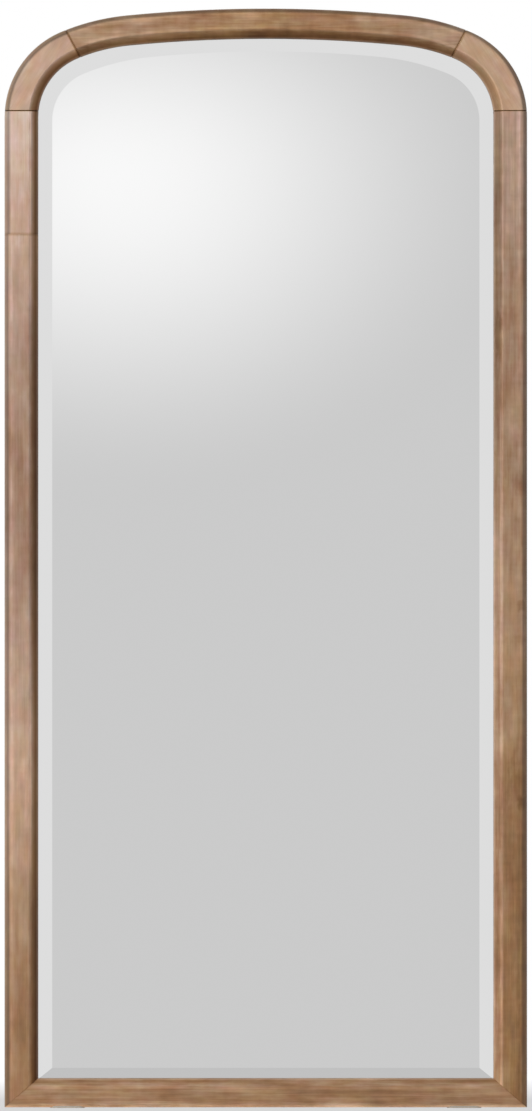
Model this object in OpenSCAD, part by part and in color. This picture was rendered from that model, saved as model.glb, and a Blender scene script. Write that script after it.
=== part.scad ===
// Leaning floor mirror: arched wooden frame in seven members, bevelled mirror glass, back panel,
// hanging hardware with swinging D rings, wall bumpers and floor pads.
// Upright, standing on the floor: +Z up, front face towards -Y, left to right along X.

/* [Frame] */
// Width of the wooden frame over its stiles
frame_w = 914; // [880:1:950]
// Height of the wooden frame, without its floor pads
frame_h = 1922; // [1860:1:1980]
// Depth of the frame from face to back
frame_d = 44; // [42:0.5:48]
// Width of a stile seen from the front, edge to glass
stile_w = 58.2; // [56:0.1:62]
// Width of the bottom rail seen from the front, edge to glass
rail_w = 49.9; // [48:0.1:54]

/* [Arch] */
// Radius of the outer corner arcs
corner_r = 162; // [156:1:168]
// Radius of the outer shoulder arcs, between corner and crown
shoulder_r = 398; // [380:1:420]
// Radius of the corner arcs at the glass
sight_corner_r = 112; // [106:1:118]
// Width of the top rail seen from the front, at the crown
crown_w = 51.9; // [49:0.1:55]

/* [Moulding] */
// Radius of the rounded outer front edge
edge_r = 11; // [8:0.5:12]
// Width of the slope that runs down to the glass, on the stiles and the arch
slope_w = 15.8; // [14:0.1:17]
// Width of that slope on the bottom rail
rail_slope_w = 13.5; // [12:0.1:15]
// Depth of that slope
slope_d = 17; // [14:0.5:18]
// Thickness of the lip in front of the glass, below the slope
lip_t = 3; // [2:0.5:4]
// Chamfer of the outer back edge
back_chamfer = 1.5; // [0.5:0.5:2]

/* [Joints of the frame] */
// Height of the butt joints between stiles and corner blocks
joint_h = 1743; // [1738:1:1748]
// Height of the joint in the left stile, where it is made of two lengths
seam_h = 1527; // [1500:1:1560]
// Half the distance between the corner block joints along the outer edge of the arch
joint_x = 350.1; // [345:0.1:356]
// Angle of the corner block joints from the horizontal
joint_a = 62; // [59:1:66]
// Thickness of the loose tenons
tenon_t = 12; // [8:1:12]

/* [Glass and back] */
// Thickness of the mirror glass
glass_t = 5; // [4:0.5:6]
// Thickness of the glass at its edge, under the bevel
glass_edge_t = 2.5; // [2:0.1:3]
// Width of the bevel along the sides and the arch
bevel_w = 32; // [28:1:36]
// Width of the bevel along the bottom
bottom_bevel_w = 25.7; // [22:0.1:30]
// How far the glass reaches behind the lip
glass_lap = 7; // [6:0.5:7.5]
// Thickness of the back panel
panel_t = 4; // [3:0.5:4.5]

/* [Hardware] */
// Height of the pivots of the D rings
ring_h = 1640; // [1600:5:1660]
// Radius of the wire of the D rings
wire_r = 2; // [1.8:0.1:2.2]
// Thickness of the wall bumpers
bumper_t = 10; // [10:0.5:12]
// How far the floor pads stand below the bottom rail
pad_gap = 1; // [0.5:0.5:2]

/* [Hidden] */
$fn = 96;

// Everything is drawn lying on its back: x across, y up the frame, z out from the back plane
// of the wood to its face. stand() sets it upright on its pads.
half_w = frame_w / 2;
half_d = (frame_d + bumper_t) / 2;
back_y = half_d - bumper_t;

// Angles where corner arc, shoulder arc and crown arc meet
a1 = 67.5;
a2 = 84.4;

// Outer outline: radii and centres, tangent to each other
c1 = [half_w - corner_r, frame_h - crown_r(half_w, corner_r, shoulder_r)
    + (crown_r(half_w, corner_r, shoulder_r) - shoulder_r) * sin(a2)
    + (shoulder_r - corner_r) * sin(a1)];
c2 = c1 - (shoulder_r - corner_r) * [cos(a1), sin(a1)];
top_r = crown_r(half_w, corner_r, shoulder_r);
c3 = [0, frame_h - top_r];

// Sight outline, where the frame ends in front of the glass. Its crown has the outer crown's centre.
sight_x = half_w - stile_w;
sight_top_r = top_r - crown_w;
sight_shoulder_r = (sight_top_r * cos(a2) - sight_x + sight_corner_r * (1 - cos(a1)))
    / (cos(a2) - cos(a1));
s2 = c3 + (sight_top_r - sight_shoulder_r) * [cos(a2), sin(a2)];
s1 = s2 + (sight_shoulder_r - sight_corner_r) * [cos(a1), sin(a1)];

// Depths above the back plane
slope_low = frame_d - slope_d;
lip_back = slope_low - lip_t;
tape_t = 0.8;
skin = 0.05;
glass_z = lip_back - tape_t - 3 * skin
    - (glass_edge_t + (glass_t - glass_edge_t) * glass_lap / bevel_w);

// Rebates: how far each one reaches outwards from the sight outline
glass_rebate = glass_lap + 1.5;
panel_rebate = 20;
panel_depth = 5.5;
panel_play = 1;
panel_hole_r = 2;
screw_off = 14.2;

// Widths of the bands in which the moulding is drawn, and how far cuts run past the wood
band = 72;
clear = 40;
over = 1;

// Corner block joints: a point on the line and its direction, outwards
joint_dir = [cos(joint_a), sin(joint_a)];
joint_p = [joint_x, c2[1] + sqrt(shoulder_r * shoulder_r - (joint_x - c2[0]) * (joint_x - c2[0]))];

// Mitre at the bottom corner, from the outer corner to the sight corner
mitre_dir = [-stile_w, rail_w] / norm([stile_w, rail_w]);

// How far the cutting planes reach past the outer edge and past the sight edge
cut_out = 40;
cut_in = 95;

// Loose tenons: length and width at the stiles, at the top rail and at the mitres; depth of their
// middle above the back plane; gap round them
stile_tenon_size = [58, 30];
rail_tenon_size = [48, 27];
spline_size = [26, 30];
spline_t = tenon_t - 4;
tenon_z = 21;
glue = 0.1;
stile_mid = half_w - (stile_w - glass_rebate) / 2;
rail_mid = 24;
mitre_mid = 41;

// Cross recess of the screws: length, width, depth
recess = [3.2, 0.7, 0.9];
head_r = 3.3;
head_h = 1.8;
sunk_h = 1.6;
shank_r = 1.6;
point_l = 2;
point_r = 0.4;
pilot_play = 0.05;
pilot_end = 0.5;

// D ring hangers: the pivot stands eye_z off the wood, and the ring is a half circle on two legs
ring_x = half_w - 21;
eye_z = 5;
eye_r = wire_r + 0.08;
eye_wall = 1.7;
eye_low = eye_z - eye_r - eye_wall;
strap_w = 18;
strap_l = 56;
strap_t = 1.6;
strap_bend = 9;
strap_corner = 5;
strap_hole_r = 2;
loop_r = 12;
leg = 10;

// Positions of the back panel's screws on the right half, as points of the lying frame
side_screws = [for (h = [150, 450, 750, 1050, 1350]) [sight_x + screw_off, h]];
arch_screws = [s1 + (sight_corner_r + screw_off) * [cos(38), sin(38)],
    c3 + (sight_top_r + screw_off) * [cos(85.4), sin(85.4)]];
rail_screws = [[270, rail_w - screw_off]];
middle_screws = [[0, rail_w - screw_off], [0, frame_h - crown_w + screw_off]];

// Radius of the crown arc that closes an arch of half width w through a corner arc and a shoulder arc
function crown_r(w, r, s) = s + (w - r - (s - r) * cos(a1)) / cos(a2);

// ---------- placing ----------

module stand() translate([0, back_y, pad_gap]) rotate([90, 0, 0]) children();

module left() mirror([1, 0, 0]) children();

// A section drawn with its radius along x and its depth along y, turned about a centre
module turned(c, from, to) {
    translate([c[0], c[1], 0]) rotate([0, 0, from])
        rotate_extrude(angle = to - from, $fn = 360) children();
}

// The same section run straight up the frame
module run_up(from, to) {
    rotate([90, 0, 0]) translate([0, 0, -to]) linear_extrude(to - from) children();
}

// ---------- sections of the moulding ----------

// Solid wood inwards from an outer edge at radius r, with the rounded front edge
module edge_section(r) {
    difference() {
        polygon([[r - band, 0], [r - back_chamfer, 0], [r, back_chamfer], [r, frame_d],
            [r - band, frame_d]]);
        translate([r - edge_r, frame_d - edge_r]) difference() {
            square(2 * edge_r);
            circle(edge_r);
        }
    }
}

// What the opening takes away around a sight edge at radius r: slope, lip, both rebates
module opening_section(r, w) {
    polygon([[r - clear, -over], [r + panel_rebate, -over], [r + panel_rebate, panel_depth],
        [r + glass_rebate, panel_depth], [r + glass_rebate, lip_back], [r, lip_back],
        [r, slope_low], [r + w, frame_d], [r + w + over * w / slope_d, frame_d + over],
        [r - clear, frame_d + over]]);
}

// ---------- raw shapes of the members, right half ----------

module outer_side() run_up(-over, c1[1]) edge_section(half_w);
module outer_corner() turned(c1, 0, 80) edge_section(corner_r);
module outer_shoulder() turned(c2, a1 - 8, a2 + 4) edge_section(shoulder_r);

module opening_side() run_up(-over, s1[1]) opening_section(sight_x, slope_w);
module opening_corner() turned(s1, 0, 86) opening_section(sight_corner_r, slope_w);
module opening_shoulder() turned(s2, a1 - 14, a2 + 8) opening_section(sight_shoulder_r, slope_w);

// Between the shoulders both edges turn about one centre
module crown() turned(c3, a2 - 1, 181 - a2) difference() {
    edge_section(top_r);
    opening_section(sight_top_r, slope_w);
}

// Bottom rail runs along x with its outer edge at y = 0
module outer_bottom() rotate([0, 0, -90]) run_up(-half_w, half_w) edge_section(0);
module opening_bottom() translate([0, rail_w, 0]) rotate([0, 0, -90])
    run_up(-half_w, half_w) opening_section(0, rail_slope_w);

// ---------- cutting planes between the members ----------

module slab(points) translate([0, 0, -over]) linear_extrude(frame_d + 2 * over) polygon(points);

// Outer and inner end of the mitre's line, of the corner block joint's and of the line where
// shoulder and crown meet
mitre_out = [half_w, 0] - cut_out * mitre_dir;
mitre_in = [half_w, 0] + (band + cut_out) * mitre_dir;
joint_out = joint_p + cut_out * joint_dir;
joint_in = joint_p - cut_in * joint_dir;
crown_out = c3 + (top_r + cut_out) * [cos(a2), sin(a2)];
crown_in = c3 + (top_r - cut_in) * [cos(a2), sin(a2)];

// Right stile's region, from the mitre up to height h
module stile_region(h) slab([mitre_out, [half_w + cut_out, mitre_out[1]],
    [half_w + cut_out, h], [mitre_in[0], h], mitre_in]);

module rail_region() slab([mitre_out, mitre_in, [-mitre_in[0], mitre_in[1]],
    [-mitre_out[0], mitre_out[1]]]);

module corner_region() slab([joint_in, joint_out, [half_w + cut_out, joint_out[1]],
    [half_w + cut_out, joint_h], [joint_in[0], joint_h]]);

module shoulder_region() slab([joint_in, joint_out, crown_out, crown_in]);

module crown_region() slab([crown_in, crown_out, [-crown_out[0], crown_out[1]],
    [-crown_in[0], crown_in[1]]]);

// ---------- loose tenons and their mortises ----------

// A flat bar with round edges along x, t thick, w wide, l long, standing up y from its middle
module tenon(l, w, t) {
    rotate([90, 0, 0]) translate([0, 0, -l / 2]) linear_extrude(l) {
        square([w - t, t], center = true);
        translate([(w - t) / 2, 0]) circle(t / 2);
        translate([(t - w) / 2, 0]) circle(t / 2);
    }
}

// The same bar about a point p of a joint, turned by angle a, or with g > 0 its mortise
module tenon_at(p, a, size, t, g) translate([p[0], p[1], tenon_z]) rotate([0, 0, a])
    tenon(size[0] + 2 * g, size[1] + 2 * g, t + 2 * g);

module stile_tenon(g = 0) tenon_at([stile_mid, joint_h], 0, stile_tenon_size, tenon_t, g);

module seam_tenon(g = 0) tenon_at([stile_mid, seam_h], 0, stile_tenon_size, tenon_t, g);

module rail_tenon(g = 0) tenon_at(joint_p - rail_mid * joint_dir, joint_a, rail_tenon_size,
    tenon_t, g);

module mitre_spline(g = 0) tenon_at([half_w, 0] + mitre_mid * mitre_dir,
    atan2(mitre_dir[1], mitre_dir[0]), spline_size, spline_t, g);

// ---------- screws ----------

// A screw's shank from depth `from` to its point at depth l
module shank(from, l) {
    translate([0, 0, from]) cylinder(h = l - point_l - from, r = shank_r);
    translate([0, 0, l - point_l]) cylinder(h = point_l, r1 = shank_r, r2 = point_r);
}

// A cross recess cut into a head whose top is at depth z
module cross_recess(z) translate([0, 0, z - over]) for (a = [0, 90]) rotate([0, 0, a])
    translate([-recess[0] / 2, -recess[1] / 2, 0]) cube([recess[0], recess[1], recess[2] + over]);

// A pan head screw pointing into the wood, its head's seat at depth z
module pan_screw(p, z, l) translate([p[0], p[1], z]) {
    shank(0, l);
    difference() {
        translate([0, 0, -head_h]) union() {
            cylinder(h = head_h / 2, r1 = head_r - head_h / 2, r2 = head_r);
            translate([0, 0, head_h / 2]) cylinder(h = head_h / 2, r = head_r);
        }
        cross_recess(-head_h);
    }
}

// A countersunk screw with its flat head flush with depth z
module flat_screw(p, z, l) translate([p[0], p[1], z]) difference() {
    union() {
        cylinder(h = sunk_h, r1 = shank_r + sunk_h, r2 = shank_r);
        shank(sunk_h, l);
    }
    cross_recess(0);
}

module pilot(p, l) translate([p[0], p[1], -over]) cylinder(h = l + over, r = shank_r + pilot_play);

panel_screw_l = 14;
hanger_screw_l = 16;
plate_screw_l = 12;
panel_pilot_l = panel_depth - panel_t + panel_screw_l + pilot_end;

// Holes of a strap and of a corner plate. The plate's corner is at plate_corner, its arms run
// inwards and upwards from there.
strap_holes = [31, 48];
hanger_holes = [for (d = strap_holes) [ring_x, ring_h - d]];
plate_w = 16;
plate_l = 70;
plate_t = 2;
plate_corner = [half_w - 15, 7];
plate_holes = [plate_corner + [-8, 32], plate_corner + [-8, 60], plate_corner + [-30, 8],
    plate_corner + [-60, 8]];

// Pilot holes that the right half of the frame holds
module pilots() {
    for (p = concat(side_screws, arch_screws, rail_screws)) pilot(p, panel_pilot_l);
    for (p = hanger_holes) pilot(p, hanger_screw_l - strap_t + pilot_end);
    for (p = plate_holes) pilot(p, plate_screw_l - plate_t + pilot_end);
}

// ---------- the seven members ----------

module bottom_rail() color("#8f6a4c") stand() difference() {
    intersection() {
        outer_bottom();
        rail_region();
    }
    opening_bottom();
    mitre_spline(glue);
    left() mitre_spline(glue);
    pilots();
    left() pilots();
    pilot(middle_screws[0], panel_pilot_l);
    pad_pocket();
    left() pad_pocket();
}

// Lower part of the stile, up to height h
module stile_body(h) difference() {
    intersection() {
        union() {
            outer_side();
            if (h > c1[1]) turned(c1, 0, 9) edge_section(corner_r);
        }
        stile_region(h);
    }
    opening_side();
    if (h > c1[1]) turned(s1, 0, 12) opening_section(sight_corner_r, slope_w);
    mitre_spline(glue);
    pilots();
}

module right_stile() color("#9a7355") stand() difference() {
    stile_body(joint_h);
    stile_tenon(glue);
}

module left_stile() color("#a07a5b") stand() left() difference() {
    stile_body(seam_h);
    seam_tenon(glue);
}

module left_stile_upper() color("#ab866a") stand() left() difference() {
    intersection() {
        stile_body(joint_h);
        slab([[half_w - 2 * band, seam_h], [half_w + cut_out, seam_h],
            [half_w + cut_out, joint_h + over], [half_w - 2 * band, joint_h + over]]);
    }
    seam_tenon(glue);
    stile_tenon(glue);
}

module corner_body() difference() {
    intersection() {
        outer_corner();
        corner_region();
    }
    opening_corner();
    stile_tenon(glue);
    rail_tenon(glue);
    pilots();
}

module right_corner() color("#b08c6e") stand() corner_body();
module left_corner() color("#b59274") stand() left() corner_body();

module shoulder() difference() {
    intersection() {
        outer_shoulder();
        shoulder_region();
    }
    opening_shoulder();
    rail_tenon(glue);
}

module top_rail() color("#8a6547") stand() difference() {
    union() {
        intersection() {
            crown();
            crown_region();
        }
        shoulder();
        left() shoulder();
    }
    pilots();
    left() pilots();
    pilot(middle_screws[1], panel_pilot_l);
}

// ---------- tenons ----------

module right_stile_tenon() color("#c9a27a") stand() stile_tenon();
module left_stile_tenon() color("#c9a27a") stand() left() stile_tenon();
module right_rail_tenon() color("#c9a27a") stand() rail_tenon();
module left_rail_tenon() color("#c9a27a") stand() left() rail_tenon();
module left_seam_tenon() color("#c9a27a") stand() left() seam_tenon();
module right_mitre_spline() color("#c9a27a") stand() mitre_spline();
module left_mitre_spline() color("#c9a27a") stand() left() mitre_spline();

// ---------- glass and back ----------

// Points along an arc of radius r about c, after its first one
function arc(c, r, from, to, steps) = [for (i = [1 : steps])
    let (a = from + (to - from) * i / steps) c + r * [cos(a), sin(a)]];

// Right half of the sight outline set e outwards, its bottom edge set eb downwards, from the bottom
// corner to the middle of the crown
function half_arch(e, eb) = concat([[sight_x + e, rail_w - eb], [sight_x + e, s1[1]]],
    arc(s1, sight_corner_r + e, 0, a1, 22), arc(s2, sight_shoulder_r + e, a1, a2, 8),
    arc(c3, sight_top_r + e, a2, 90, 10));

module arch(e, eb) {
    half = half_arch(e, eb);
    polygon(concat(half, [for (i = [len(half) - 2 : -1 : 0]) [-half[i][0], half[i][1]]]));
}

// The glass is ground down from its full thickness towards its edge
module mirror_glass() color("#cfd3d4") stand() translate([0, 0, glass_z]) hull() {
    linear_extrude(glass_edge_t) arch(glass_lap, glass_lap);
    linear_extrude(glass_t) arch(glass_lap - bevel_w, glass_lap - bottom_bevel_w);
}

// Thin cushion between the lip and the glass, tape_in behind the sight edge and tape_w wide, in
// lengths that follow the sight outline
tape_in = 1;
tape_w = 5;

module glass_tape() color("#2b2a29") stand() translate([0, 0, lip_back - tape_t]) {
    t = tape_t - skin;
    low = rail_w - tape_in - tape_w;
    for (m = [0, 1]) mirror([m, 0, 0]) {
        translate([sight_x + tape_in, low, 0]) cube([tape_w, s1[1] - low, t]);
        turned(s1, 0, a1) translate([sight_corner_r + tape_in, 0]) square([tape_w, t]);
        turned(s2, a1, a2) translate([sight_shoulder_r + tape_in, 0]) square([tape_w, t]);
    }
    turned(c3, a2, 180 - a2) translate([sight_top_r + tape_in, 0]) square([tape_w, t]);
    translate([-sight_x - tape_in, low, 0]) cube([2 * (sight_x + tape_in), tape_w, t]);
}

// Blocks under the glass, behind the lip of the bottom rail
block = [60, glass_rebate - glass_lap - 2 * skin, glass_edge_t + 1];

module setting_blocks() color("#3a3a3a") stand() for (x = [-200, 200])
    translate([x - block[0] / 2, rail_w - glass_rebate + skin, glass_z]) cube(block);

// Foam blocks that hold the glass off the back panel: two columns near the stiles and one in the
// middle
foam_w = 40;
foam_side_x = sight_x - 30;

module foam_column(x, heights) for (h = heights)
    translate([x - foam_w / 2, h - foam_w / 2, panel_depth + 2 * skin])
        cube([foam_w, foam_w, glass_z - panel_depth - 4 * skin]);

module spacer_pads() color("#5b5b5b") stand() {
    for (x = [-foam_side_x, foam_side_x]) foam_column(x, [120, 520, 920, 1320, 1680]);
    foam_column(0, [100, 320, 920, 1520, 1830]);
}

// Every screw of the back panel, on both halves
panel_points = concat([for (p = concat(side_screws, arch_screws, rail_screws)) each
    [p, [-p[0], p[1]]]], middle_screws);

module back_panel() color("#4a3a2e") stand() difference() {
    translate([0, 0, panel_depth - panel_t]) linear_extrude(panel_t)
        arch(panel_rebate - panel_play, panel_rebate - panel_play);
    for (p = panel_points) translate([p[0], p[1], -over])
        cylinder(h = panel_depth + 2 * over, r = panel_hole_r);
}

module panel_screws() color("#a9a9a4") stand() for (p = panel_points)
    pan_screw(p, panel_depth - panel_t, panel_screw_l);

// ---------- hanging hardware ----------

// Strap with a rolled eye, drawn from its section: x up the strap, y away from the wood
module hanger() color("#b4b2aa") translate([ring_x, ring_h, 0]) difference() {
    rotate([0, -90, 0]) rotate([0, 0, 90]) translate([0, 0, -strap_w / 2])
        linear_extrude(strap_w) {
            polygon([[-strap_l, 0], [-strap_bend, 0], [0, eye_low + skin],
                [0, eye_low + strap_t], [-strap_bend, strap_t], [-strap_l, strap_t]]);
            translate([0, eye_z]) circle(eye_r + eye_wall);
        }
    translate([-strap_w, 0, -eye_z]) rotate([0, 90, 0]) cylinder(h = 2 * strap_w, r = eye_r);
    for (d = strap_holes) translate([0, -d, -strap_t - over])
        cylinder(h = strap_t + 2 * over, r = strap_hole_r);
    for (x = [-1, 1]) translate([x * strap_w / 2, -strap_l, -strap_t / 2]) rotate([0, 0, 45])
        cube([strap_corner, strap_corner, strap_t + 2 * over], center = true);
}

module right_hanger() stand() hanger();
module left_hanger() stand() left() hanger();

// D ring hanging from its straight bar
module d_ring() color("#bdbbb3") translate([ring_x, ring_h, -eye_z]) {
    translate([-loop_r, 0, 0]) rotate([0, 90, 0]) cylinder(h = 2 * loop_r, r = wire_r);
    for (x = [-loop_r, loop_r]) {
        translate([x, 0, 0]) sphere(wire_r);
        translate([x, -leg, 0]) rotate([-90, 0, 0]) cylinder(h = leg, r = wire_r);
    }
    translate([0, -leg, 0]) rotate([0, 0, 180]) rotate_extrude(angle = 180, $fn = 96)
        translate([loop_r, 0]) circle(wire_r);
}

module right_ring() stand() d_ring();
module left_ring() stand() left() d_ring();

module hanger_screws() color("#a9a9a4") stand() for (p = hanger_holes) {
    pan_screw(p, -strap_t, hanger_screw_l);
    pan_screw([-p[0], p[1]], -strap_t, hanger_screw_l);
}

// Flat steel angle across a bottom mitre
module corner_plate() color("#b4b2aa") difference() {
    translate([0, 0, -plate_t]) linear_extrude(plate_t) difference() {
        translate(plate_corner - [plate_l, 0]) square(plate_l);
        translate(plate_corner + [-plate_w - plate_l, plate_w]) square(plate_l);
    }
    for (p = plate_holes) translate([p[0], p[1], -plate_t]) {
        cylinder(h = sunk_h, r1 = shank_r + sunk_h + 2 * skin, r2 = shank_r + 2 * skin);
        cylinder(h = plate_t + over, r = shank_r + 2 * skin);
    }
}

module right_corner_plate() stand() corner_plate();
module left_corner_plate() stand() left() corner_plate();

module plate_screws() color("#a9a9a4") stand() for (p = plate_holes) {
    flat_screw(p, -plate_t, plate_screw_l);
    flat_screw([-p[0], p[1]], -plate_t, plate_screw_l);
}

// ---------- bumpers and pads ----------

bumper_r = 11;
bumper_round = 3;
upper_bumper = [half_w - 24, 1700];
lower_bumper = [half_w - 21, 110];

// Rubber disc with a rounded shoulder, standing off the back
module bumper(x, h) color("#2c2c2c") stand() translate([x, h, -bumper_t]) rotate_extrude() {
    difference() {
        square([bumper_r, bumper_t]);
        translate([bumper_r - bumper_round, 0]) square([bumper_round + over, bumper_round]);
    }
    translate([bumper_r - bumper_round, bumper_round]) intersection() {
        circle(bumper_round);
        translate([0, -bumper_round]) square(bumper_round);
    }
}

module upper_right_bumper() bumper(upper_bumper[0], upper_bumper[1]);
module upper_left_bumper() bumper(-upper_bumper[0], upper_bumper[1]);
module lower_right_bumper() bumper(lower_bumper[0], lower_bumper[1]);
module lower_left_bumper() bumper(-lower_bumper[0], lower_bumper[1]);

// Felt pads let into the underside of the bottom rail
pad_l = 60;
pad_w = 36;
pad_r = 10;
pad_in = 3;
pad_x = half_w - 110;
pad_play = 0.2;

// Outline of a pad, set out by g
module pad_outline(g) {
    square([pad_l - 2 * pad_r, pad_w + 2 * g], center = true);
    square([pad_l + 2 * g, pad_w - 2 * pad_r], center = true);
    for (x = [-1, 1]) for (y = [-1, 1])
        translate([x * (pad_l / 2 - pad_r), y * (pad_w / 2 - pad_r)]) circle(pad_r + g);
}

module pad_pocket() translate([pad_x, -over, frame_d / 2]) rotate([-90, 0, 0])
    linear_extrude(pad_in + over) pad_outline(pad_play);

module floor_pad() color("#3b3632") translate([pad_x, -pad_gap, frame_d / 2])
    rotate([-90, 0, 0]) linear_extrude(pad_in + pad_gap - skin) pad_outline(0);

module right_floor_pad() stand() floor_pad();
module left_floor_pad() stand() left() floor_pad();

bottom_rail();
left_stile();
left_stile_upper();
right_stile();
left_corner();
right_corner();
top_rail();
left_stile_tenon();
right_stile_tenon();
left_rail_tenon();
right_rail_tenon();
left_seam_tenon();
left_mitre_spline();
right_mitre_spline();
mirror_glass();
glass_tape();
setting_blocks();
spacer_pads();
back_panel();
panel_screws();
left_hanger();
right_hanger();
left_ring();
right_ring();
hanger_screws();
left_corner_plate();
right_corner_plate();
plate_screws();
upper_left_bumper();
upper_right_bumper();
lower_left_bumper();
lower_right_bumper();
left_floor_pad();
right_floor_pad();
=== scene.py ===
import math

import bmesh
import bpy
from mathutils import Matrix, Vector


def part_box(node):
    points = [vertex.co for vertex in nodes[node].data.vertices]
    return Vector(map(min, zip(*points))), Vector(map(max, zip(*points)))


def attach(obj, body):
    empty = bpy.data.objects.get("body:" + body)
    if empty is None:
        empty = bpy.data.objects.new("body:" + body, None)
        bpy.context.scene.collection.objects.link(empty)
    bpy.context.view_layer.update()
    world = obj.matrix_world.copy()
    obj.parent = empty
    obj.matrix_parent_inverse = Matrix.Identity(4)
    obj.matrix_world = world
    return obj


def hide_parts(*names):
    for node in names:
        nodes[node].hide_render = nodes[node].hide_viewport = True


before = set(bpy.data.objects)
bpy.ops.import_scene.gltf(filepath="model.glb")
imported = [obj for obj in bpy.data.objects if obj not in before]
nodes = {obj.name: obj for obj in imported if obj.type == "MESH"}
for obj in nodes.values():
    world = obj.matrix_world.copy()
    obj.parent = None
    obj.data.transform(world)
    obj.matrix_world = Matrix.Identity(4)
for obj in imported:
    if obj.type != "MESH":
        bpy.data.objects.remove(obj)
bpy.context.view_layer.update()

MM = 0.001
X, Y, Z = Vector((1, 0, 0)), Vector((0, 1, 0)), Vector((0, 0, 1))


# ---------- sizes, in metres ----------

# In these names _w is a width, _d a depth, _r a radius and _t a thickness

# The frame's outside, from the solids
rail_low, rail_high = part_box("bottom_rail")
half_w = rail_high.x
front, back = rail_low.y, rail_high.y
foot, top = rail_low.z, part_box("top_rail")[1].z
joint_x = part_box("top_rail")[1].x
joint_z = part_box("right_stile")[1].z
seam_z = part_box("left_stile")[1].z
glass_low, glass_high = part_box("mirror_glass")

# The arch: the angles at which its corner and shoulder arcs end, their radii, the radius of the opening's
# corners, and how steep the top rail's joints are
corner_end, shoulder_end = math.radians(67.5), math.radians(84.4)
corner_r, shoulder_r = 162 * MM, 398 * MM
sight_corner_r = 112 * MM
joint_tilt = math.radians(62)

# The moulding's section
stile_w, rail_w, crown_w = 58.2 * MM, 49.9 * MM, 51.9 * MM
slope_w, rail_slope_w, slope_d = 15.8 * MM, 13.5 * MM, 17 * MM
edge_r, arris_r, lip_r, back_chamfer = 11 * MM, 3 * MM, 0.8 * MM, 1.5 * MM
lip_back = front + slope_d + 3 * MM
glass_rebate, panel_rebate, panel_depth = 8.5 * MM, 20 * MM, 5.5 * MM

# The arch blank's width and lower end, and how far a cutting shape reaches into the opening and past a face
blank_w, blank_low, clear, over = 72 * MM, -30 * MM, 40 * MM, 1 * MM

# Half the width of the groove between two members
stile_groove, rail_groove, mitre_groove, seam_groove = 0.7 * MM, 1.0 * MM, 0.4 * MM, 0.25 * MM

# The glass: its thin edge, and the line where the bevel meets the flat field
edge_t = 2.5 * MM
bevel_w, bottom_bevel_w, crown_bevel_w = 32 * MM, 25.7 * MM, 22.7 * MM
line_corner_r, line_shoulder_r = 89.2 * MM, 408 * MM


def arch(half, crown_top, corner, shoulder):
    """The right half of an arch of that half width, as (centre, radius) of its corner, shoulder and
    crown arcs. Each arc runs smoothly into the next."""
    across = half - corner - (shoulder - corner) * math.cos(corner_end)
    crown = shoulder + across / math.cos(shoulder_end)
    arcs = [(Vector((0, 0, crown_top - crown)), crown)]
    for radius, angle in ((shoulder, shoulder_end), (corner, corner_end)):
        centre, larger = arcs[0]
        step = (larger - radius) * Vector((math.cos(angle), 0, math.sin(angle)))
        arcs.insert(0, (centre + step, radius))
    return arcs


sight_x, sight_z = half_w - stile_w, foot + rail_w
outer_arch = arch(half_w, top, corner_r, shoulder_r)

# The opening's crown runs parallel to the frame's, which settles the radius of its shoulders
sight_crown_r = outer_arch[2][1] - crown_w
sight_shoulder_r = ((sight_crown_r * math.cos(shoulder_end) - sight_x
                     + sight_corner_r * (1 - math.cos(corner_end)))
                    / (math.cos(shoulder_end) - math.cos(corner_end)))
sight_arch = arch(sight_x, top - crown_w, sight_corner_r, sight_shoulder_r)
lap = glass_high.x - sight_x
glass_arch = arch(glass_high.x, glass_high.z, sight_corner_r + lap, sight_shoulder_r + lap)
line_x, line_z = glass_high.x - bevel_w, glass_low.z + bottom_bevel_w
line_arch = arch(line_x, top - crown_w - crown_bevel_w, line_corner_r, line_shoulder_r)

# Where the joints are, and the direction across each
shoulder_centre = outer_arch[1][0]
joint_rise = math.sqrt(shoulder_r ** 2 - (joint_x - shoulder_centre.x) ** 2)
joint_point = Vector((joint_x, 0, shoulder_centre.z + joint_rise))
joint_way = Vector((-math.sin(joint_tilt), 0, math.cos(joint_tilt)))
mitre_point = Vector((half_w, 0, foot))
mitre_way = Vector((-rail_w, 0, -stile_w)).normalized()


# ---------- modelling by hand ----------


def choose(piece):
    """Makes one piece the only selected one, and the active one."""
    bpy.ops.object.select_all(action="DESELECT")
    piece.select_set(True)
    bpy.context.view_layer.objects.active = piece


def pull(step):
    """Extrudes what is selected by that step."""
    bpy.ops.mesh.extrude_region_move(TRANSFORM_OT_translate={"value": step})


def turn(centre, angle, steps):
    """Spins what is selected round a centre, from +X towards +Z."""
    bpy.ops.mesh.spin(steps=steps, angle=angle, center=centre, axis=Y)


def begin(name, point):
    """Starts a piece as one selected vertex, in edit mode."""
    bpy.ops.object.select_all(action="DESELECT")
    bpy.ops.mesh.primitive_plane_add(size=MM)
    piece = bpy.context.object
    piece.name = piece.data.name = name
    bpy.ops.object.mode_set(mode="EDIT")
    bpy.ops.mesh.select_mode(type="VERT")
    bpy.ops.mesh.merge(type="CENTER")
    bpy.ops.transform.translate(value=point)
    return piece


def close_outline():
    """Fills the drawn outline with one face."""
    bpy.ops.mesh.select_all(action="SELECT")
    bpy.ops.mesh.edge_face_add()


def section(name, points):
    """A moulding's section as one face, drawn from point to point."""
    piece = begin(name, points[0])
    for here, there in zip(points, points[1:]):
        pull(there - here)
    close_outline()
    return piece


def mirrored(place):
    """The same place or direction on the other side of the middle."""
    return Vector((-place.x, place.y, place.z))


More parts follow.
